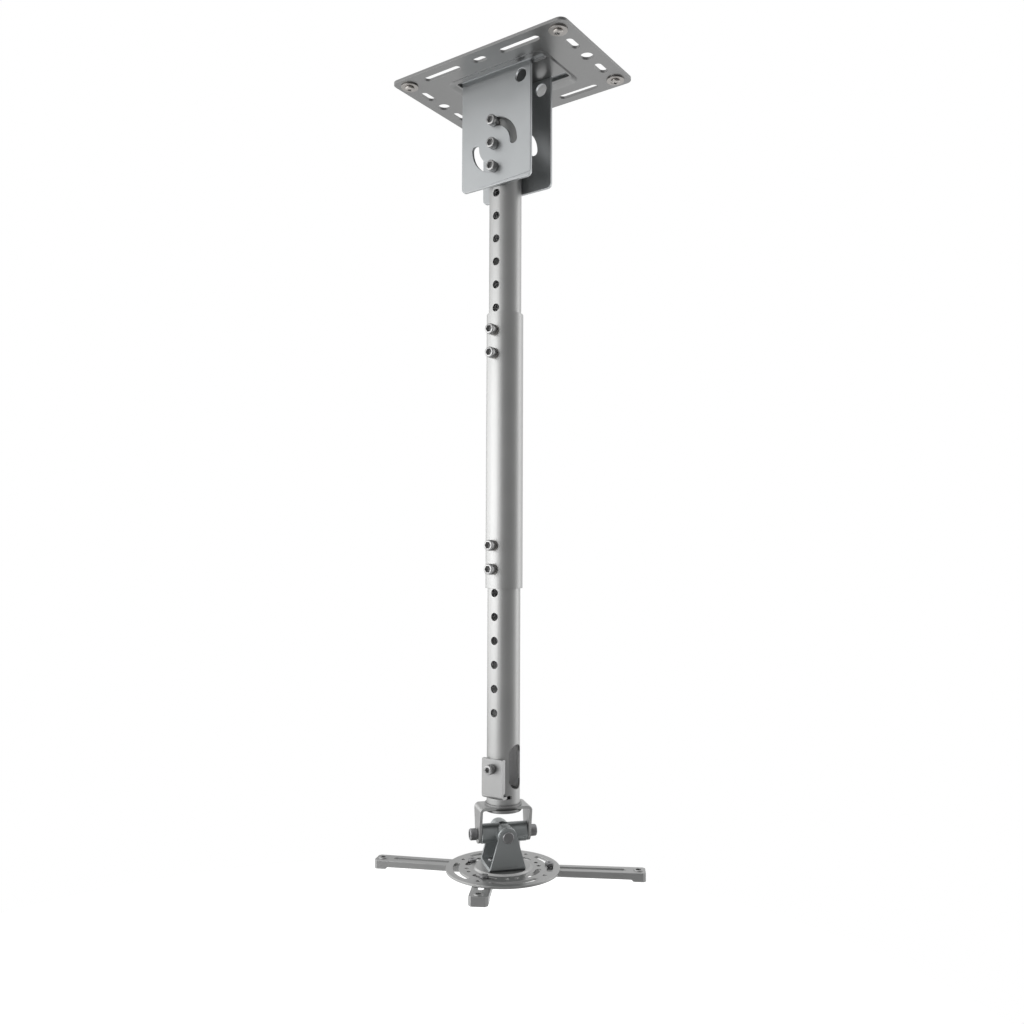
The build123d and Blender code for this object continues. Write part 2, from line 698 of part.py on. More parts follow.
def arm_nut(name):
    """Square nut in the arm's channel; it turns with the arm and the arm slides along it."""
    nut = Box(arm_nut_width, arm_nut_width, arm_nut_height, align=(Align.CENTER, Align.CENTER, Align.MAX))
    nut -= Cylinder(arm_screw_diameter / 2 + running_clearance, 3 * arm_nut_height)
    return on_arm_screw(name, Pos(0, 0, -arm_wall - seat_clearance) * nut, True)


def write(node, shapes):
    """Write one sub-part, or a group of like fasteners, to its own file."""
    group = shapes if isinstance(shapes, list) else [shapes]
    solids = [solid for shape in group for solid in shape.solids()]
    shape = solids[0] if len(solids) == 1 else Compound(children=solids)
    export_step(shape, f"parts/{node}.step")


os.makedirs("parts", exist_ok=True)
write("ceiling_plate", ceiling_plate())
write("anchor_washers", at_anchors(anchor_washer()))
write("anchor_screws", at_anchors(anchor_screw()))
write("ceiling_bracket", ceiling_bracket())
write("upper_tube", upper_tube())
write("bracket_bolts", at_bracket(bracket_bolt()))
write("bracket_washers", at_bracket(rear_washer()))
write("bracket_nuts", at_bracket(rear_nut()))
write("sleeve_tube", sleeve_tube())
write("clamp_washers", at_sleeve(spring_washer()))
write("clamp_screws", at_sleeve(clamp_screw()))
write("lower_tube", lower_tube())
write("lock_plate", lock_plate())
write("lock_screw", lock_screw())
write("swivel_stub", swivel_stub())
write("swivel_washer", swivel_washer())
write("yoke", yoke())
write("cross_block", cross_block())
write("yoke_axle_screws", yoke_axle_screws())
write("trunnion", trunnion())
write("trunnion_axle", trunnion_axle())
write("mounting_disc", mounting_disc())
write("trunnion_rivets", trunnion_rivets())
for arm_name in arm_settings:
    write(f"{arm_name}_arm", arm(arm_name))
    write(f"{arm_name}_arm_screw", arm_screw(arm_name))
    write(f"{arm_name}_arm_nut", arm_nut(arm_name))
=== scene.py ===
"""Looks of the projector ceiling mount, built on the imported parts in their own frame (metres, +Z up)."""
import json
from math import cos, radians, sin, tau

import bmesh
import bpy
from mathutils import Matrix, Vector

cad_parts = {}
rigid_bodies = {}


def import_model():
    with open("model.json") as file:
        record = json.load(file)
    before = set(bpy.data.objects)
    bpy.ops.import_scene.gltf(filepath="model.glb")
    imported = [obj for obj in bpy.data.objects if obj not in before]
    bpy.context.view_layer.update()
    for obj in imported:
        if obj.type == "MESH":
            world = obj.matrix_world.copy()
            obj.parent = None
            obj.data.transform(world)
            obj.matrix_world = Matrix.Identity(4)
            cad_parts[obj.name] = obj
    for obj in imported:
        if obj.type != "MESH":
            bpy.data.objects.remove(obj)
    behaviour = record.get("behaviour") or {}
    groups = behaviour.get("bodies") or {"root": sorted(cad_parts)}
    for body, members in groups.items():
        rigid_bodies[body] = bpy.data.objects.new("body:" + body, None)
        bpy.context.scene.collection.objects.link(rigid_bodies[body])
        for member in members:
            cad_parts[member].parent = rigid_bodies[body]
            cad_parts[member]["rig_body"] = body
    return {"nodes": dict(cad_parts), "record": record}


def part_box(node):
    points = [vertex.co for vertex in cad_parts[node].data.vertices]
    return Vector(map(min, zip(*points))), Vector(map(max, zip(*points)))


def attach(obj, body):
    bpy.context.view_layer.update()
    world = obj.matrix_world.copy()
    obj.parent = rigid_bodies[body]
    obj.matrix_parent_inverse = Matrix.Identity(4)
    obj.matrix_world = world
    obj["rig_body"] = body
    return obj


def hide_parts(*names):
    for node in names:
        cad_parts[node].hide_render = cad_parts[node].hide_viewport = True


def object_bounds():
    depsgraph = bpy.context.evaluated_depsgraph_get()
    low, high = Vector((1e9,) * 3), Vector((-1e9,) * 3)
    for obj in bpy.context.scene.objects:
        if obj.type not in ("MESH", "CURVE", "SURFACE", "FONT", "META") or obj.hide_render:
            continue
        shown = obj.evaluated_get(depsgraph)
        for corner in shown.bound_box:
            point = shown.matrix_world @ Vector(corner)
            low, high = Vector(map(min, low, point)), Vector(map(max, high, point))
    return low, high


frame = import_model()
cad_low, cad_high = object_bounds()


# CEILING PLATE
# A flat plate of 3 mm steel, with a shallow pad pressed up in its middle and rows of punched slots. It is
# powder-coated satin silver, and its corners and punched edges are slightly rounded by the coat. Its silver
# is given darker than the other parts' silver: painted shade on the plate's downward face.
mm = 0.001
# Darker than the other silver coats: painted shade on the plate's underside.
plate_shaded_silver = (0.26, 0.261, 0.26)
sheet_edge = 0.45 * mm
pad_shoulder = 1.4 * mm
pad_wall_least = radians(15)
pad_wall_most = radians(36)
weld_distance = 0.002 * mm
flat_angle = radians(0.6)
sharp_angle = radians(38)


def stand_in(piece, node):
    """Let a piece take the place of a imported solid, on the solid's own body."""
    bpy.context.scene.collection.objects.link(piece)
    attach(piece, frame["nodes"][node]["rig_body"])
    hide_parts(node)


def rolled(node, edge, finish, shaping=None, lining=None):
    """Stand a copy of a solid in its place, with its sharp edges rounded to `edge`, and give it a finish.

    `shaping` may change the copy first, and give some of its faces the second finish, `lining`.
    """
    shape = bmesh.new()
    shape.from_mesh(frame["nodes"][node].data)
    bmesh.ops.remove_doubles(shape, verts=shape.verts, dist=weld_distance)
    bmesh.ops.dissolve_limit(
        shape, angle_limit=flat_angle, verts=shape.verts, edges=shape.edges, delimit=set()
    )
    for face in shape.faces:
        face.material_index = 0
    if shaping:
        shaping(shape)
    mesh = bpy.data.meshes.new(node + "_rolled")
    mesh.materials.append(finish)
    if lining:
        mesh.materials.append(lining)
    shape.to_mesh(mesh)
    shape.free()
    for name in [layer.name for layer in mesh.attributes if "normal" in layer.name]:
        mesh.attributes.remove(mesh.attributes[name])
    mesh.shade_smooth()
    piece = bpy.data.objects.new(node + "_rolled", mesh)
    stand_in(piece, node)
    rounding = piece.modifiers.new("rounding", "BEVEL")
    rounding.width = edge
    rounding.segments = 3
    rounding.limit_method = "ANGLE"
    rounding.angle_limit = sharp_angle
    rounding.use_clamp_overlap = True
    rounding.miter_outer = "MITER_ARC"
    shading = piece.modifiers.new("shading", "WEIGHTED_NORMAL")
    shading.keep_sharp = True
    shading.weight = 80


def soften_edges(shape, edges, width, segments):
    """Round these edges of a shape to a width."""
    bmesh.ops.bevel(
        shape, geom=edges, offset=width, segments=segments, profile=0.5, affect="EDGES", clamp_overlap=True
    )


def soften_pad(shape):
    """Round the shoulders of the pressed pad, where the sheet turns gently into the pad's sloped wall."""
    level_slack = 0.01 * mm
    shoulders = [
        edge
        for edge in shape.edges
        if len(edge.link_faces) == 2
        and pad_wall_least < edge.calc_face_angle() < pad_wall_most
        and abs(edge.verts[0].co.z - edge.verts[1].co.z) < level_slack
    ]
    soften_edges(shape, shoulders, pad_shoulder, segments=4)


def silver_coat(name, colour, roughness=0.38, metallic=0.85, flake=0.05, peel=0.05):
    """Powder coat with metal flake: fine sparkle in the colour, an orange-peel bump and a drifting gloss."""
    flakes_per_metre = 5200.0
    clouds_per_metre = 34.0
    ripples_per_metre = 900.0
    ripple_height = 0.1 * mm
    gloss_drift = 0.06

    coat = bpy.data.materials.new(name)
    coat.use_nodes = True
    nodes, links = coat.node_tree.nodes, coat.node_tree.links
    shader = nodes["Principled BSDF"]
    shader.inputs["Metallic"].default_value = metallic
    place = nodes.new("ShaderNodeTexCoord")

    sparkle = nodes.new("ShaderNodeTexVoronoi")
    sparkle.inputs["Scale"].default_value = flakes_per_metre
    links.new(place.outputs["Object"], sparkle.inputs["Vector"])
    cloud = nodes.new("ShaderNodeTexNoise")
    cloud.inputs["Scale"].default_value = clouds_per_metre
    cloud.inputs["Detail"].default_value = 5.0
    links.new(place.outputs["Object"], cloud.inputs["Vector"])
    grain = nodes.new("ShaderNodeMix")
    grain.inputs["Factor"].default_value = 0.6
    links.new(sparkle.outputs["Distance"], grain.inputs["A"])
    links.new(cloud.outputs["Fac"], grain.inputs["B"])
    tint = nodes.new("ShaderNodeMapRange")
    tint.inputs["From Min"].default_value = 0.2
    tint.inputs["From Max"].default_value = 0.8
    tint.inputs["To Min"].default_value = 1.0 - flake
    tint.inputs["To Max"].default_value = 1.0 + flake
    links.new(grain.outputs["Result"], tint.inputs["Value"])
    paint = nodes.new("ShaderNodeVectorMath")
    paint.operation = "SCALE"
    paint.inputs["Vector"].default_value = colour
    links.new(tint.outputs["Result"], paint.inputs["Scale"])
    links.new(paint.outputs["Vector"], shader.inputs["Base Color"])

    gloss = nodes.new("ShaderNodeMapRange")
    gloss.inputs["To Min"].default_value = roughness - gloss_drift
    gloss.inputs["To Max"].default_value = roughness + gloss_drift
    links.new(cloud.outputs["Fac"], gloss.inputs["Value"])
    links.new(gloss.outputs["Result"], shader.inputs["Roughness"])

    ripple = nodes.new("ShaderNodeTexNoise")
    ripple.inputs["Scale"].default_value = ripples_per_metre
    ripple.inputs["Detail"].default_value = 3.0
    links.new(place.outputs["Object"], ripple.inputs["Vector"])
    bump = nodes.new("ShaderNodeBump")
    bump.inputs["Strength"].default_value = peel
    bump.inputs["Distance"].default_value = ripple_height
    links.new(ripple.outputs["Fac"], bump.inputs["Height"])
    links.new(bump.outputs["Normal"], shader.inputs["Normal"])
    return coat


plate_coat = silver_coat("plate_shaded_silver_coat", plate_shaded_silver, roughness=0.30)
rolled("ceiling_plate", sheet_edge, plate_coat, soften_pad)


# CORNER ANCHORS
# A washer and a pan-head screw in each corner of the plate, both of nickel-plated steel. The washers are
# punched and the screws cold-headed, with a cross recess that is coloured a dull grey: painted shade.
nickel_colour = (0.36, 0.345, 0.33)
# Dull grey for the inside of the cross and socket recesses: painted shade, where the hollow lies in shadow.
recess_shade_colour = (0.38, 0.38, 0.38)
washer_edge = 0.25 * mm
anchor_shank_radius = 2.95 * mm
anchor_tip = 0.4 * mm
pan_head_height = 2.6 * mm
pan_head_wall = 0.5 * mm
pan_head_bevel_out = 0.2 * mm
pan_head_bevel_up = 0.3 * mm
cross_length = 5.6 * mm
cross_width = 1.6 * mm
cross_depth = 1.4 * mm
cross_taper = 0.75
turned_sides = 96
downwards = Vector((0, 0, -1))


def turned_metal(name, colour, roughness, streak=0.08, wear=0.0):
    """Plated or blackened metal: fine tool marks break up its gloss, and it shades from dull to worn."""
    marks_per_metre = 1500.0
    clouds_per_metre = 160.0
    mark_depth = 0.05 * mm
    dull_share = 0.85
    worn_share = 1.12

    metal = bpy.data.materials.new(name)
    metal.use_nodes = True
    nodes, links = metal.node_tree.nodes, metal.node_tree.links
    shader = nodes["Principled BSDF"]
    shader.inputs["Metallic"].default_value = 1.0
    place = nodes.new("ShaderNodeTexCoord")
    marks = nodes.new("ShaderNodeTexNoise")
    marks.inputs["Scale"].default_value = marks_per_metre
    marks.inputs["Detail"].default_value = 4.0
    links.new(place.outputs["Object"], marks.inputs["Vector"])
    tarnish = nodes.new("ShaderNodeTexNoise")
    tarnish.inputs["Scale"].default_value = clouds_per_metre
    tarnish.inputs["Detail"].default_value = 6.0
    links.new(place.outputs["Object"], tarnish.inputs["Vector"])

    gloss = nodes.new("ShaderNodeMapRange")
    gloss.inputs["To Min"].default_value = roughness - streak
    gloss.inputs["To Max"].default_value = roughness + streak
    links.new(marks.outputs["Fac"], gloss.inputs["Value"])
    links.new(gloss.outputs["Result"], shader.inputs["Roughness"])

    shade = nodes.new("ShaderNodeMix")
    shade.data_type = "RGBA"
    shade.inputs["A"].default_value = (*[dull_share * c for c in colour], 1.0)
    shade.inputs["B"].default_value = (*[min(1.0, worn_share * c + wear) for c in colour], 1.0)
    links.new(tarnish.outputs["Fac"], shade.inputs["Factor"])
    links.new(shade.outputs["Result"], shader.inputs["Base Color"])

    bump = nodes.new("ShaderNodeBump")
    bump.inputs["Strength"].default_value = 0.06
    bump.inputs["Distance"].default_value = mark_depth
    links.new(marks.outputs["Fac"], bump.inputs["Height"])
    links.new(bump.outputs["Normal"], shader.inputs["Normal"])
    return metal


def solids_of(node):
    """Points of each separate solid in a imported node."""
    shape = bmesh.new()
    shape.from_mesh(frame["nodes"][node].data)
    bmesh.ops.remove_doubles(shape, verts=shape.verts, dist=weld_distance)
    left = set(shape.verts)
    solids = []
    while left:
        reached = [left.pop()]
        points = []
        while reached:
            vert = reached.pop()
            points.append(vert.co.copy())
            fresh = {edge.other_vert(vert) for edge in vert.link_edges} & left
            left -= fresh
            reached.extend(fresh)
        solids.append(points)
    shape.free()
    return solids


def measured(points, axis):
    """Place of a turned solid's lower end with Z along `axis`, its length and its greatest diameter."""
    side = axis.orthogonal().normalized()
    other = axis.cross(side)
    low = [min(point.dot(direction) for point in points) for direction in (side, other, axis)]
    high = [max(point.dot(direction) for point in points) for direction in (side, other, axis)]
    end = side * (low[0] + high[0]) / 2 + other * (low[1] + high[1]) / 2 + axis * low[2]
    place = Matrix.Translation(end) @ axis.to_track_quat("Z", "Y").to_matrix().to_4x4()
    return place, high[2] - low[2], max(high[0] - low[0], high[1] - low[1])


def turn_up(shape, place, rings, recess_bands):
    """Skin a closed stack of rings, with the second finish on its last `recess_bands` bands and its end.

    A ring is a height and a radius, or a height and one radius for each of its sides.
    """
    angles = [tau * i / turned_sides for i in range(turned_sides)]
    loops = []
    for height, radius in rings:
        radii = radius if isinstance(radius, list) else [radius] * turned_sides
        points = [Vector((r * cos(angle), r * sin(angle), height)) for r, angle in zip(radii, angles)]
        loops.append([shape.verts.new(place @ point) for point in points])
    for band, (lower, upper) in enumerate(zip(loops, loops[1:])):
        for i in range(turned_sides):
            face = shape.faces.new((lower[i - 1], lower[i], upper[i], upper[i - 1]))
            face.material_index = int(band >= len(loops) - 1 - recess_bands)
    shape.faces.new(loops[0][::-1])
    shape.faces.new(loops[-1]).material_index = int(recess_bands > 0)


def turned(node, axis_at, rings_for, finish, recess_bands=0):
    """Stand finely turned copies of a node's solids in their places, where asked with a recess in painted
    shade.
    """
    shape = bmesh.new()
    for points in solids_of(node):
        middle = sum(points, Vector()) / len(points)
        place, length, width = measured(points, axis_at(middle))
        turn_up(shape, place, rings_for(length, width), recess_bands)
    bmesh.ops.recalc_face_normals(shape, faces=shape.faces)
    mesh = bpy.data.meshes.new(node + "_turned")
    shape.to_mesh(mesh)
    shape.free()
    mesh.materials.append(finish)
    if recess_bands:
        # The recess bands and the end take the painted shade.
        mesh.materials.append(recess_painted_shade)
    mesh.shade_smooth()
    mesh.set_sharp_from_angle(angle=radians(32))
    stand_in(bpy.data.objects.new(node + "_turned", mesh), node)


def domed(height, radius, rise, steps=5):
    """Rings of a rounded head that closes in from its full radius over the last `rise` of its height."""
    inset = 1.4 * rise
    rings = []
    for step in range(steps + 1):
        angle = tau / 4 * step / steps
        rings.append((height - rise + rise * sin(angle), radius - inset * (1 - cos(angle))))
    return rings


def cross_outline(length, width):
    """Radius of a cross recess at each side of a ring."""
    radii = []
    for i in range(turned_sides):
        across = abs(sin(tau * i / turned_sides))
        along = abs(cos(tau * i / turned_sides))
        across, along = min(across, along), max(across, along)
        radii.append(min(length / 2 / along, width / 2 / max(across, 0.001)))
    return radii


def pan_head_screw(length, width):
    """Rings of a screw with a low domed head and a cross recess, from its tip to the foot of the recess."""
    shank = length - pan_head_height
    head = width / 2
    rings = [(0, anchor_shank_radius - anchor_tip), (anchor_tip, anchor_shank_radius)]
    rings += [(shank, anchor_shank_radius), (shank, head - pan_head_bevel_out)]
    rings += [(shank + pan_head_bevel_up, head)]
    rings += domed(length, head, pan_head_height - pan_head_wall)
    rings += [(length, cross_outline(cross_length, cross_width))]
    rings += [(length - cross_depth, cross_outline(cross_taper * cross_length, cross_taper * cross_width))]
    return rings


nickel_plate = turned_metal("nickel_plate", nickel_colour, 0.30)
recess_painted_shade = silver_coat("recess_painted_shade", recess_shade_colour, roughness=0.6, metallic=0.0)
rolled("anchor_washers", washer_edge, nickel_plate)
turned("anchor_screws", lambda middle: downwards, pan_head_screw, nickel_plate, recess_bands=1)


# CEILING BRACKET
# A cap plate that lies on the plate's pad, with two cheeks of 3.5 mm steel welded under it, silver-coated.
# The cheeks pass the pad's slots, have a pivot hole and two arc slots punched in them, and hold the pole.
bracket_silver = (0.44, 0.455, 0.462)
bracket_coat = silver_coat("bracket_silver_coat", bracket_silver, metallic=0.75)
rolled("ceiling_bracket", sheet_edge, bracket_coat)


# UPPER POLE TUBE
# A 35 mm steel tube with a row of height holes down its front. It is silver-coated outside after drilling,
# and its bore is lined in a near-white, dull grey: painted light, so the inside looks lit through the holes.
pole_silver = (0.45, 0.452, 0.448)
# Near-white lining of the bores: painted light inside the tubes.
bore_painted_light_white = (0.92, 0.92, 0.92)
tube_edge = 0.35 * mm
pole_coat = silver_coat("pole_silver_coat", pole_silver, roughness=0.43)
bore_lit_lining = silver_coat("painted_light_bore_lining", bore_painted_light_white, roughness=0.6, metallic=0.5, peel=0.1)
pole_low, pole_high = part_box("upper_tube")
pole_axis = (pole_low.xy + pole_high.xy) / 2


def line_bore(shape):
    """Give the faces that look in to the pole's axis the second finish, the bore's painted-light lining."""
    least_facing = 0.6
    for face in shape.faces:
        inwards = pole_axis - face.calc_center_median().xy
        if inwards.length and face.normal.xy.dot(inwards.normalized()) > least_facing:
            face.material_index = 1


rolled("upper_tube", tube_edge, pole_coat, line_bore, bore_lit_lining)


# BRACKET BOLTS
# Three long zinc-plated socket screws through the cheeks and the tube: the middle one is the pivot, the other
# two run in the arc slots and lock the tilt. Each has a knurled head, with a plated washer and nut behind.
zinc_colour = (0.34, 0.34, 0.34)
machined_edge = 0.2 * mm
# The socket's last bands take the painted shade of the recess.
socket_bands = 2
forwards = Vector((0, -1, 0))


def socket_screw(diameter, head_height, socket_width, socket_depth, thread_length=0.0, knurl=0.2 * mm):
    """Rings of a socket screw of these sizes, as a function of its length and its head's diameter."""
    radius = diameter / 2
    pitch = 0.16 * diameter
    rim = 0.12 * head_height
    drill_point = radius / 8
    hexagon = []
    for i in range(turned_sides):
        from_flat = (tau * i / turned_sides) % (tau / 6) - tau / 12
        hexagon.append(socket_width / 2 / cos(from_flat))

    def rings_for(length, width):
        shank = length - head_height
        head = width / 2
        ridges = [head - knurl * (i % 2) for i in range(turned_sides)]
        rings = [(0, radius - pitch / 2), (pitch / 2, radius)]
        for turn in range(int(thread_length / pitch)):
            rings += [((turn + 1) * pitch, radius - pitch / 2), ((turn + 1.5) * pitch, radius)]
        rings += [(shank, radius), (shank, head - rim), (shank + rim, head - knurl)]
        rings += [(shank + 1.2 * rim, ridges), (length - 1.6 * rim, ridges)]
        rings += domed(length, head - knurl, rim)
        rings += [(length, hexagon), (length - socket_depth, hexagon)]
        rings += [(length - socket_depth - rim / 2, drill_point)]
        return rings

    return rings_for


bolt_shape = socket_screw(
    diameter=8 * mm, head_height=8 * mm, socket_width=6.8 * mm, socket_depth=4 * mm, thread_length=16 * mm
)
zinc_plate = turned_metal("zinc_plated_steel", zinc_colour, 0.30)
turned("bracket_bolts", lambda middle: forwards, bolt_shape, zinc_plate, socket_bands)
rolled("bracket_washers", washer_edge, nickel_plate)
rolled("bracket_nuts", machined_edge, nickel_plate)


# SLEEVE TUBE AND CLAMP SCREWS
# The outer tube that joins the upper and lower tubes, coated like them. Two zinc-plated socket screws on
# split washers at each end clamp the tubes at the height they are set to.
clamp_shape = socket_screw(
    diameter=8 * mm, head_height=8 * mm, socket_width=6.8 * mm, socket_depth=4 * mm
)
# The sleeve's bore takes the same painted-light lining.
rolled("sleeve_tube", tube_edge, pole_coat, line_bore, bore_lit_lining)
rolled("clamp_washers", machined_edge, nickel_plate)
turned("clamp_screws", lambda middle: forwards, clamp_shape, zinc_plate, socket_bands)


# LOWER POLE TUBE AND LOCK PLATE
# The lower tube has the cable outlet in its side. A folded, coated plate is screwed to its front, and
# the plate's lower flange reaches through the wall into the swivel's groove: the head turns but cannot drop.
lock_silver = (0.39, 0.391, 0.389)
lock_coat = silver_coat("lock_plate_silver_coat", lock_silver)
lock_screw_shape = socket_screw(
    diameter=6 * mm, head_height=8 * mm, socket_width=5 * mm, socket_depth=4 * mm, thread_length=5 * mm
)
# The lower tube's bore, seen through the cable outlet, takes the same painted-light lining.
rolled("lower_tube", tube_edge, pole_coat, line_bore, bore_lit_lining)
rolled("lock_plate", sheet_edge, lock_coat)
turned("lock_screw", lambda middle: forwards, lock_screw_shape, zinc_plate, socket_bands)


# SWIVEL AND YOKE
# A turned and blackened stub hangs in the tube. Its neck is riveted through the yoke and a heavy washer. The
# yoke is a silver-coated strip folded to an inverted U with tapered legs.
head_silver = (0.45, 0.452, 0.448)
blackened_colour = (0.30, 0.30, 0.30)
yoke_edge = 0.25 * mm
head_coat = silver_coat("head_silver_coat", head_silver)
blackened_steel = turned_metal("blackened_steel", blackened_colour, 0.45)
rolled("swivel_stub", machined_edge, blackened_steel)
rolled("swivel_washer", machined_edge, blackened_steel)
rolled("yoke", yoke_edge, head_coat)


# CROSS BLOCK
# A grey-coated casting of two crossed barrels. Dark steel socket screws through the yoke's legs run in one
# barrel, the trunnion's axle in the other, so the head tilts and rolls.
casting_grey = (0.385, 0.405, 0.407)
dark_steel_colour = (0.26, 0.26, 0.265)
casting_coat = silver_coat("casting_grey_coat", casting_grey, roughness=0.45, peel=0.08)
dark_steel = turned_metal("dark_screw_steel", dark_steel_colour, 0.36, wear=0.04)
axle_screw_shape = socket_screw(
    diameter=8 * mm, head_height=8 * mm, socket_width=6 * mm, socket_depth=4 * mm
)


def outwards(middle):
    """Level direction from the pole's axis."""
    return Vector((*(middle.xy - pole_axis).normalized(), 0))


rolled("cross_block", machined_edge, casting_coat)
turned("yoke_axle_screws", outwards, axle_screw_shape, dark_steel, socket_bands)


# TRUNNION
# A bracket folded from coated sheet with triangular cheeks, riveted to the disc. A plain steel pin, peened at
# both ends, carries it on the cross block.
trunnion_grey = (0.395, 0.415, 0.418)
peen_height = 1.6 * mm
peen_rim = 0.3 * mm
axle_radius = 4 * mm
rivet_radius = 2.5 * mm
trunnion_coat = silver_coat("trunnion_grey_coat", trunnion_grey)
roll_joint = next(j for j in frame["record"]["behaviour"]["joints"] if j["name"] == "head_roll")
roll_axis = Vector(roll_joint["axis"])
upwards = Vector((0, 0, 1))


def peened_pin(length, width):
    """Rings of a plain pin with a low dome hammered on each end."""
    far_end = domed(length, width / 2, peen_height - peen_rim)
    near_end = [(length - height, radius) for height, radius in reversed(far_end)]
    shank = [(peen_height, width / 2), (peen_height, axle_radius)]
    shank += [(length - height, radius) for height, radius in reversed(shank)]
    return near_end + shank + far_end


def dome_rivet(length, width):
    """Rings of a rivet: a plain shank, flush below, and a domed head."""
    shank = length - peen_height
    rings = [(0, rivet_radius), (shank, rivet_radius), (shank, width / 2)]
    return rings + domed(length, width / 2, peen_height - peen_rim)


rolled("trunnion", sheet_edge, trunnion_coat)
turned("trunnion_axle", lambda middle: roll_axis, peened_pin, dark_steel)
turned("trunnion_rivets", lambda middle: upwards, dome_rivet, dark_steel)


# MOUNTING DISC
# A pressed and silver-coated steel disc with a raised middle. Rings of arc slots and small holes let the arms
# be set to any projector's screw holes.
disc_silver = (0.40, 0.402, 0.398)
disc_coat = silver_coat("disc_silver_coat", disc_silver)
rolled("mounting_disc", sheet_edge, disc_coat)


# ARMS
# Four die-cast arms under the disc, each an inverted channel with a long slot and a thick foot with a fixing
# hole. A low-headed screw of dark steel through the disc and a square nut in the channel clamp each arm.
arm_grey = (0.375, 0.377, 0.375)
arm_edge = 0.4 * mm
arm_underside = 1.5 * mm
arm_shoulder = 0.9 * mm
arm_coat = silver_coat("arm_silver_coat", arm_grey)
arm_screw_shape = socket_screw(
    diameter=5 * mm, head_height=2.6 * mm, socket_width=3 * mm, socket_depth=1.4 * mm, knurl=0.0
)


def soften_arm(shape):
    """Round the long outer edges of the casting, more below than above, as the mould leaves them."""
    least_length = 5 * mm
    least_along = 0.7
    slack = 0.1 * mm
    middle = sum((vert.co for vert in shape.verts), Vector()) / len(shape.verts)
    longest = max(shape.edges, key=lambda edge: edge.calc_length())
    along = (longest.verts[0].co - longest.verts[1].co).normalized()
    across = along.cross(upwards)
    outer = max(abs((vert.co - middle).dot(across)) for vert in shape.verts) - slack
    long_edges = [
        edge
        for edge in shape.edges
        if edge.calc_length() > least_length
        and abs((edge.verts[0].co - edge.verts[1].co).normalized().dot(along)) > least_along
        and all(abs((vert.co - middle).dot(across)) > outer for vert in edge.verts)
    ]
    top = max(edge.verts[0].co.z for edge in long_edges) - slack
    upper = [edge for edge in long_edges if min(vert.co.z for vert in edge.verts) > top]
    lower = [edge for edge in long_edges if edge not in upper]
    soften_edges(shape, lower, arm_underside, segments=5)
    soften_edges(shape, upper, arm_shoulder, segments=5)


for side in ("left", "front", "right", "rear"):
    screw = f"{side}_arm_screw"
    rolled(f"{side}_arm", arm_edge, arm_coat, soften_arm)
    turned(screw, lambda middle: upwards, arm_screw_shape, dark_steel, socket_bands)
    rolled(f"{side}_arm_nut", machined_edge, nickel_plate)


# STUDIO
# A round white floor well below the hanging mount, in a white surround that is greyer in front on the right
# and, in a smaller patch, behind on the left. The floor glows for the camera and in reflections, white at its
# rim but less towards its middle: a painted shade under the mount, which the mount's lower faces reflect, and
# where its real shadow falls too. A large soft lamp stands in front on the left, a smaller one on the left
# and a weaker one behind on the right.
floor_drop = 0.55
floor_radius = 1.3
floor_shift = (-0.54, 0.25, 0.0)
floor_white = (0.8, 0.8, 0.8, 1.0)
# Weaker glow in the floor's middle than at its rim: painted shade under the mount.
floor_glow_middle = 0.36
floor_glow_reach = 0.65
fill_strength = 0.36
dark_side = (0.839, -0.545, 0.0)
dark_level = 0.31
back_gap = (-0.867, 0.498, 0.0)
back_level = 0.5
white = (1.0, 1.0, 1.0, 1.0)

floor_mesh = bpy.data.meshes.new("floor")
shape = bmesh.new()
bmesh.ops.create_circle(
    shape, cap_ends=True, segments=96, radius=floor_radius, matrix=Matrix.Translation(floor_shift)
)
shape.to_mesh(floor_mesh)
shape.free()
floor = bpy.data.objects.new("floor", floor_mesh)
floor.location.z = cad_low.z - floor_drop
bpy.context.scene.collection.objects.link(floor)


def combined(nodes, links, operation, first, second):
    """Output of a math node that takes two other outputs."""
    node = nodes.new("ShaderNodeMath")
    node.operation = operation
    links.new(first, node.inputs[0])
    links.new(second, node.inputs[1])
    return node.outputs["Value"]


def seen_directly(nodes, links):
    """1 for what the camera, a reflection or clear glass sees, 0 for the light that falls on the object."""
    path = nodes.new("ShaderNodeLightPath").outputs
    either = combined(nodes, links, "MAXIMUM", path["Is Camera Ray"], path["Is Glossy Ray"])
    return combined(nodes, links, "MAXIMUM", either, path["Is Transmission Ray"])


paper = bpy.data.materials.new("white_floor")
paper.use_nodes = True
nodes, links = paper.node_tree.nodes, paper.node_tree.links
shader = nodes["Principled BSDF"]
shader.inputs["Base Color"].default_value = floor_white
shader.inputs["Roughness"].default_value = 0.9
shader.inputs["Emission Color"].default_value = white
place = nodes.new("ShaderNodeTexCoord")
away = nodes.new("ShaderNodeVectorMath")
away.operation = "LENGTH"
links.new(place.outputs["Object"], away.inputs[0])
glow = nodes.new("ShaderNodeMapRange")
glow.interpolation_type = "SMOOTHSTEP"
glow.inputs["From Max"].default_value = floor_glow_reach
glow.inputs["To Min"].default_value = floor_glow_middle
glow.inputs["To Max"].default_value = 1.0
links.new(away.outputs["Value"], glow.inputs["Value"])
lit = combined(nodes, links, "MULTIPLY", glow.outputs["Result"], seen_directly(nodes, links))
links.new(lit, shader.inputs["Emission Strength"])
floor_mesh.materials.append(paper)


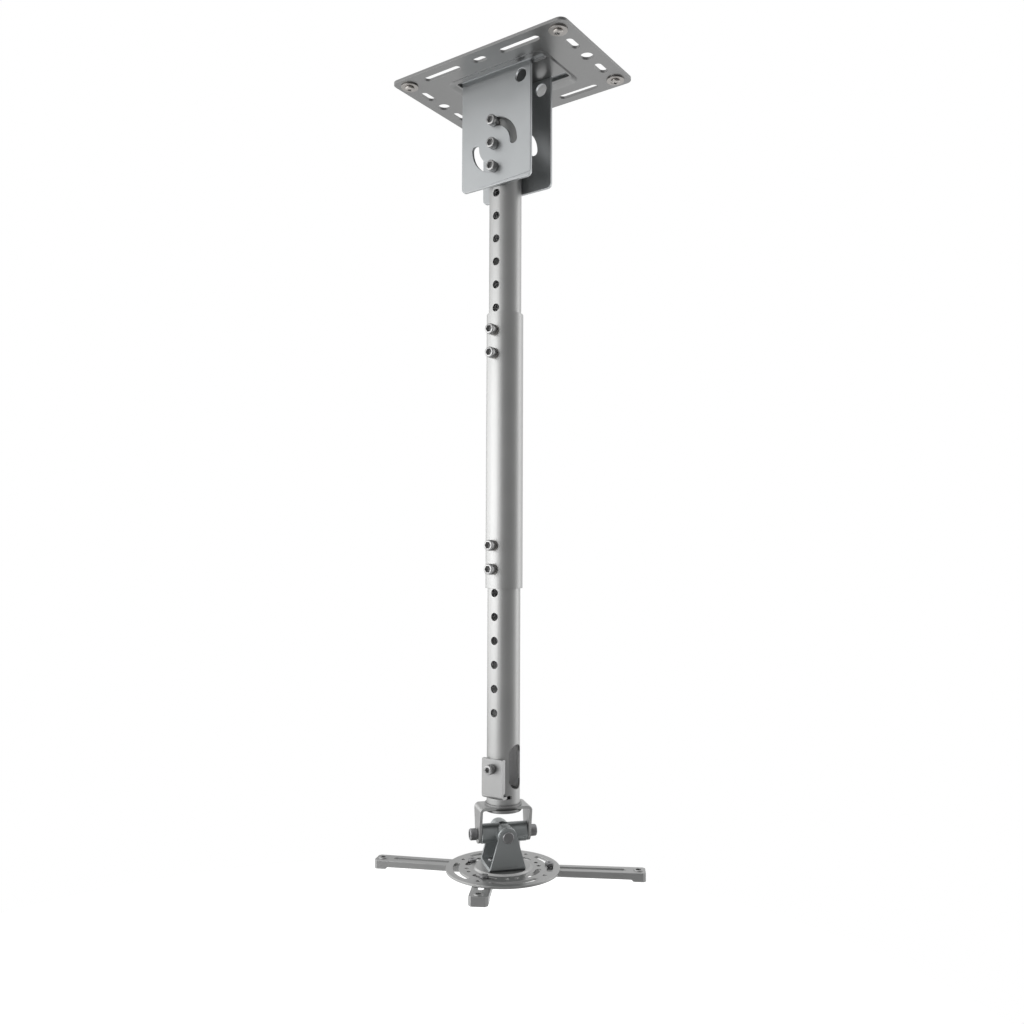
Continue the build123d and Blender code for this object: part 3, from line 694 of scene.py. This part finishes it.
def dimmed(nodes, links, direction, begins, ends, level):
    """1 all round, with a soft fall to a lower level in one direction, between two cosines of its angle."""
    place = nodes.new("ShaderNodeTexCoord")
    facing = nodes.new("ShaderNodeVectorMath")
    facing.operation = "DOT_PRODUCT"
    facing.inputs[1].default_value = direction
    links.new(place.outputs["Generated"], facing.inputs[0])
    shade = nodes.new("ShaderNodeMapRange")
    shade.interpolation_type = "SMOOTHSTEP"
    shade.inputs["From Min"].default_value = begins
    shade.inputs["From Max"].default_value = ends
    shade.inputs["To Min"].default_value = 1.0
    shade.inputs["To Max"].default_value = level
    links.new(facing.outputs["Value"], shade.inputs["Value"])
    return shade.outputs["Result"]


surround = bpy.data.worlds.new("white_surround")
surround.use_nodes = True
nodes, links = surround.node_tree.nodes, surround.node_tree.links
front_shade = dimmed(nodes, links, dark_side, begins=0.1, ends=0.85, level=dark_level)
back_shade = dimmed(nodes, links, back_gap, begins=0.80, ends=0.95, level=back_level)
both_shades = combined(nodes, links, "MULTIPLY", front_shade, back_shade)
fill = nodes.new("ShaderNodeMapRange")
fill.inputs["To Min"].default_value = fill_strength
fill.inputs["To Max"].default_value = 1.0
links.new(seen_directly(nodes, links), fill.inputs["Value"])
around = combined(nodes, links, "MULTIPLY", fill.outputs["Result"], both_shades)
camera_ray = nodes.new("ShaderNodeLightPath").outputs["Is Camera Ray"]
strength = combined(nodes, links, "MAXIMUM", around, camera_ray)
nodes["Background"].inputs["Color"].default_value = white
links.new(strength, nodes["Background"].inputs["Strength"])
bpy.context.scene.world = surround

# The camera is fitted to the photograph: to the right of the front, at pole height, looking slightly up.
camera_azimuth = radians(35.13)
camera_pitch = radians(3.01)
camera_roll = radians(0.2)
camera_place = Vector((0.57106, -0.80838, -0.52423))
camera_lens = 32.685

sight = Vector(
    (-sin(camera_azimuth) * cos(camera_pitch), cos(camera_azimuth) * cos(camera_pitch), sin(camera_pitch))
)
level_right = Vector((cos(camera_azimuth), sin(camera_azimuth), 0.0))
level_up = level_right.cross(sight)
right = level_right * cos(camera_roll) + level_up * sin(camera_roll)
up = right.cross(sight)
view = bpy.data.cameras.new("photo_view")
view.sensor_width = 36.0
view.lens = camera_lens
view.clip_end = 100.0
camera = bpy.data.objects.new("photo_view", view)
camera.matrix_world = Matrix.Translation(camera_place) @ Matrix((right, up, -sight)).transposed().to_4x4()
bpy.context.scene.collection.objects.link(camera)
bpy.context.scene.camera = camera


def soft_lamp(name, place, size, power):
    """Oblong softbox that faces the middle of the mount."""
    lamp = bpy.data.lights.new(name, "AREA")
    lamp.shape = "RECTANGLE"
    lamp.size, lamp.size_y = size
    lamp.energy = power
    stand = bpy.data.objects.new(name, lamp)
    stand.location = place
    middle = (cad_low + cad_high) / 2
    stand.rotation_euler = (middle - Vector(place)).to_track_quat("-Z", "Y").to_euler()
    stand.visible_camera = False
    bpy.context.scene.collection.objects.link(stand)


soft_lamp("key_lamp", place=(-0.78, -1.36, -0.33), size=(2.1, 1.05), power=14.5)
soft_lamp("side_lamp", place=(-1.55, -0.05, -0.35), size=(1.2, 1.05), power=5.0)
soft_lamp("rim_lamp", place=(0.95, 1.25, -0.30), size=(0.7, 1.6), power=4.0)

bpy.context.scene.view_settings.view_transform = "Standard"
